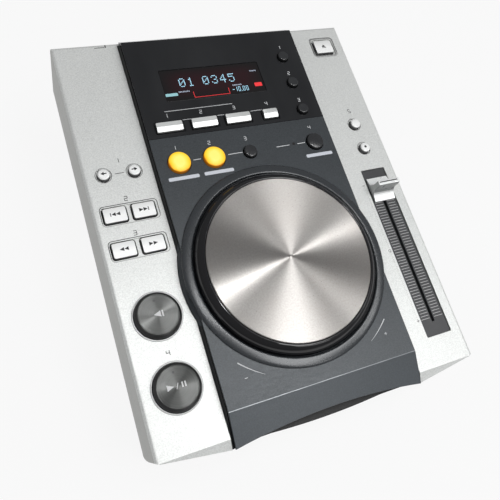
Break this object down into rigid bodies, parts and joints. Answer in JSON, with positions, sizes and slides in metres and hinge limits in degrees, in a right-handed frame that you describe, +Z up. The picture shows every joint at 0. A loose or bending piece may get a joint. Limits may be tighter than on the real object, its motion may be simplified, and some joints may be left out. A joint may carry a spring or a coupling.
{
  "type": "tabletop disc player with jog wheel",
  "caption": "Sloped tabletop disc player: silver wings, raised dark deck with jog wheel, display and loop keys, cue and play buttons, tempo fader, front disc slot.",
  "frame": {"origin": "centre of the footprint's box, on the surface the feet stand on", "axes": "+X to the user's right, +Y from the user to the connectors at the rear, +Z up"},
  "size_m": [0.218, 0.2772, 0.1053],
  "materials": {
    "silver_case": "fine satin silver metallic paint on a moulded case",
    "black_plastic": "fine-textured black moulding",
    "deck_blue_grey": "satin blue-grey paint",
    "gloss_black": "gloss black",
    "red_lens": "dark red tinted window",
    "dark_glass": "display tube glass",
    "black_steel": "black painted steel",
    "rubber": "black rubber",
    "dark_insert": "dark grey insert",
    "zinc_steel": "zinc plated steel",
    "bright_steel": "ground steel",
    "dark_steel": "blackened steel",
    "circuit_board": "green laminate",
    "nickel": "nickel plate",
    "brass": "sintered bronze",
    "chrome_trim": "bright chrome",
    "spun_metal": "circularly brushed disc",
    "dark_metal_cap": "dark circularly brushed cap in a black skirt",
    "silver_key": "satin silver",
    "black_button": "semi-gloss black",
    "amber_button": "translucent amber, lit"
  },
  "bodies": {
    "body": {"upper_case": "silver_case", "centre_frame": "black_plastic", "deck_panel": "deck_blue_grey", "display_fascia": "gloss_black", "display_lens": "red_lens", "display_tube": "dark_glass", "jog_ring": "deck_blue_grey", "slot_bezel": "black_plastic", "base_case": "black_plastic", "rear_panel": "black_steel", "rubber_feet": "rubber", "fader_plate": "dark_insert", "fader_body": "zinc_steel", "wing_boards": "circuit_board", "deck_board": "circuit_board", "main_board": "circuit_board", "power_board": "circuit_board", "phono_sockets": "nickel", "control_socket": "black_plastic", "mains_inlet": "black_plastic", "drive_chassis": "zinc_steel", "drive_dampers": "rubber", "guide_rods": "bright_steel", "spindle_motor": "zinc_steel", "sled_motor": "zinc_steel", "jog_bearing": "brass", "case_screws": "dark_steel", "trim_rings": "chrome_trim"},
    "jog": {"jog_rim": "gloss_black", "jog_disc": "spun_metal", "jog_shaft": "bright_steel"},
    "cue_button": {"cue_button": "dark_metal_cap"},
    "play_button": {"play_button": "dark_metal_cap"},
    "track_back_key": {"track_back_key": "silver_key"},
    "track_forward_key": {"track_forward_key": "silver_key"},
    "search_back_key": {"search_back_key": "silver_key"},
    "search_forward_key": {"search_forward_key": "silver_key"},
    "folder_back_button": {"folder_back_button": "silver_key"},
    "folder_forward_button": {"folder_forward_button": "silver_key"},
    "eject_key": {"eject_key": "silver_key"},
    "range_button": {"range_button": "silver_key"},
    "lock_button": {"lock_button": "silver_key"},
    "effect_key_1": {"effect_key_1": "silver_key"},
    "effect_key_2": {"effect_key_2": "silver_key"},
    "effect_key_3": {"effect_key_3": "silver_key"},
    "hold_key": {"hold_key": "silver_key"},
    "text_button": {"text_button": "black_button"},
    "time_button": {"time_button": "black_button"},
    "auto_button": {"auto_button": "black_button"},
    "loop_in_button": {"loop_in_button": "amber_button"},
    "loop_out_button": {"loop_out_button": "amber_button"},
    "reloop_button": {"reloop_button": "black_button"},
    "beat_button": {"beat_button": "black_button"},
    "power_button": {"power_button": "black_button"},
    "fader_knob": {"fader_knob": "silver_key"},
    "feed_roller": {"feed_roller": "rubber"},
    "spindle_hub": {"spindle_hub": "black_plastic"},
    "pickup_sled": {"pickup_sled": "black_plastic"},
    "lead_screw": {"lead_screw": "bright_steel"},
    "clamp_arm": {"clamp_arm": "dark_steel"}
  },
  "joints": [
    {"name": "jog_turn", "type": "hinge", "parent": "body", "child": "jog", "pos_m": [0, -0.04339, 0.07914], "axis": [0, -0.1132, 0.9936], "continuous": true},
    {"name": "cue_button_press", "type": "slide", "parent": "body", "child": "cue_button", "axis": [0, -0.1132, 0.9936], "range_m": [-0.001, 0], "stiffness_N_per_m": 500, "springref_m": 0.0005},
    {"name": "play_button_press", "type": "slide", "parent": "body", "child": "play_button", "axis": [0, -0.1132, 0.9936], "range_m": [-0.001, 0], "stiffness_N_per_m": 500, "springref_m": 0.0005},
    {"name": "track_back_key_press", "type": "slide", "parent": "body", "child": "track_back_key", "axis": [0, -0.1132, 0.9936], "range_m": [-0.001, 0], "stiffness_N_per_m": 300, "springref_m": 0.0005},
    {"name": "track_forward_key_press", "type": "slide", "parent": "body", "child": "track_forward_key", "axis": [0, -0.1132, 0.9936], "range_m": [-0.001, 0], "stiffness_N_per_m": 300, "springref_m": 0.0005},
    {"name": "search_back_key_press", "type": "slide", "parent": "body", "child": "search_back_key", "axis": [0, -0.1132, 0.9936], "range_m": [-0.001, 0], "stiffness_N_per_m": 300, "springref_m": 0.0005},
    {"name": "search_forward_key_press", "type": "slide", "parent": "body", "child": "search_forward_key", "axis": [0, -0.1132, 0.9936], "range_m": [-0.001, 0], "stiffness_N_per_m": 300, "springref_m": 0.0005},
    {"name": "folder_back_button_press", "type": "slide", "parent": "body", "child": "folder_back_button", "axis": [0, -0.1132, 0.9936], "range_m": [-0.001, 0], "stiffness_N_per_m": 300, "springref_m": 0.0005},
    {"name": "folder_forward_button_press", "type": "slide", "parent": "body", "child": "folder_forward_button", "axis": [0, -0.1132, 0.9936], "range_m": [-0.001, 0], "stiffness_N_per_m": 300, "springref_m": 0.0005},
    {"name": "eject_key_press", "type": "slide", "parent": "body", "child": "eject_key", "axis": [0, -0.1132, 0.9936], "range_m": [-0.001, 0], "stiffness_N_per_m": 300, "springref_m": 0.0005},
    {"name": "range_button_press", "type": "slide", "parent": "body", "child": "range_button", "axis": [0, -0.1132, 0.9936], "range_m": [-0.001, 0], "stiffness_N_per_m": 300, "springref_m": 0.0005},
    {"name": "lock_button_press", "type": "slide", "parent": "body", "child": "lock_button", "axis": [0, -0.1132, 0.9936], "range_m": [-0.001, 0], "stiffness_N_per_m": 300, "springref_m": 0.0005},
    {"name": "effect_key_1_press", "type": "slide", "parent": "body", "child": "effect_key_1", "axis": [0, -0.1132, 0.9936], "range_m": [-0.001, 0], "stiffness_N_per_m": 300, "springref_m": 0.0005},
    {"name": "effect_key_2_press", "type": "slide", "parent": "body", "child": "effect_key_2", "axis": [0, -0.1132, 0.9936], "range_m": [-0.001, 0], "stiffness_N_per_m": 300, "springref_m": 0.0005},
    {"name": "effect_key_3_press", "type": "slide", "parent": "body", "child": "effect_key_3", "axis": [0, -0.1132, 0.9936], "range_m": [-0.001, 0], "stiffness_N_per_m": 300, "springref_m": 0.0005},
    {"name": "hold_key_press", "type": "slide", "parent": "body", "child": "hold_key", "axis": [0, -0.1132, 0.9936], "range_m": [-0.001, 0], "stiffness_N_per_m": 300, "springref_m": 0.0005},
    {"name": "text_button_press", "type": "slide", "parent": "body", "child": "text_button", "axis": [0, -0.1132, 0.9936], "range_m": [-0.001, 0], "stiffness_N_per_m": 300, "springref_m": 0.0005},
    {"name": "time_button_press", "type": "slide", "parent": "body", "child": "time_button", "axis": [0, -0.1132, 0.9936], "range_m": [-0.001, 0], "stiffness_N_per_m": 300, "springref_m": 0.0005},
    {"name": "auto_button_press", "type": "slide", "parent": "body", "child": "auto_button", "axis": [0, -0.1132, 0.9936], "range_m": [-0.001, 0], "stiffness_N_per_m": 300, "springref_m": 0.0005},
    {"name": "loop_in_button_press", "type": "slide", "parent": "body", "child": "loop_in_button", "axis": [0, -0.1132, 0.9936], "range_m": [-0.001, 0], "stiffness_N_per_m": 300, "springref_m": 0.0005},
    {"name": "loop_out_button_press", "type": "slide", "parent": "body", "child": "loop_out_button", "axis": [0, -0.1132, 0.9936], "range_m": [-0.001, 0], "stiffness_N_per_m": 300, "springref_m": 0.0005},
    {"name": "reloop_button_press", "type": "slide", "parent": "body", "child": "reloop_button", "axis": [0, -0.1132, 0.9936], "range_m": [-0.001, 0], "stiffness_N_per_m": 300, "springref_m": 0.0005},
    {"name": "beat_button_press", "type": "slide", "parent": "body", "child": "beat_button", "axis": [0, -0.1132, 0.9936], "range_m": [-0.001, 0], "stiffness_N_per_m": 300, "springref_m": 0.0005},
    {"name": "power_button_press", "type": "slide", "parent": "body", "child": "power_button", "axis": [0, 1, 0], "range_m": [-0.003, 0], "stiffness_N_per_m": 400, "springref_m": 0.0005},
    {"name": "fader_slide", "type": "slide", "parent": "body", "child": "fader_knob", "axis": [0, 0.9936, 0.1132], "range_m": [-0.0955, 0.0045]},
    {"name": "roller_turn", "type": "hinge", "parent": "body", "child": "feed_roller", "pos_m": [0, -0.11941, 0.0546], "axis": [1, 0, 0], "continuous": true},
    {"name": "spindle_turn", "type": "hinge", "parent": "body", "child": "spindle_hub", "pos_m": [0, -0.05741, 0.0551], "axis": [0, 0, 1], "continuous": true},
    {"name": "pickup_travel", "type": "slide", "parent": "body", "child": "pickup_sled", "axis": [0, 1, 0], "range_m": [0, 0.034]},
    {"name": "lead_screw_turn", "type": "hinge", "parent": "body", "child": "lead_screw", "pos_m": [0.028, -0.05741, 0.0471], "axis": [0, 1, 0], "range_deg": [-10, 4090]},
    {"name": "clamp_tilt", "type": "hinge", "parent": "body", "child": "clamp_arm", "pos_m": [0, 0.01059, 0.0666], "axis": [1, 0, 0], "range_deg": [0, 4.2], "stiffness_Nm_per_rad": 0.6, "springref_deg": -5.73}
  ],
  "couplings": [
    {"joint": "lead_screw_turn", "follows": "pickup_travel", "rad_per_m": 2094.4}
  ]
}
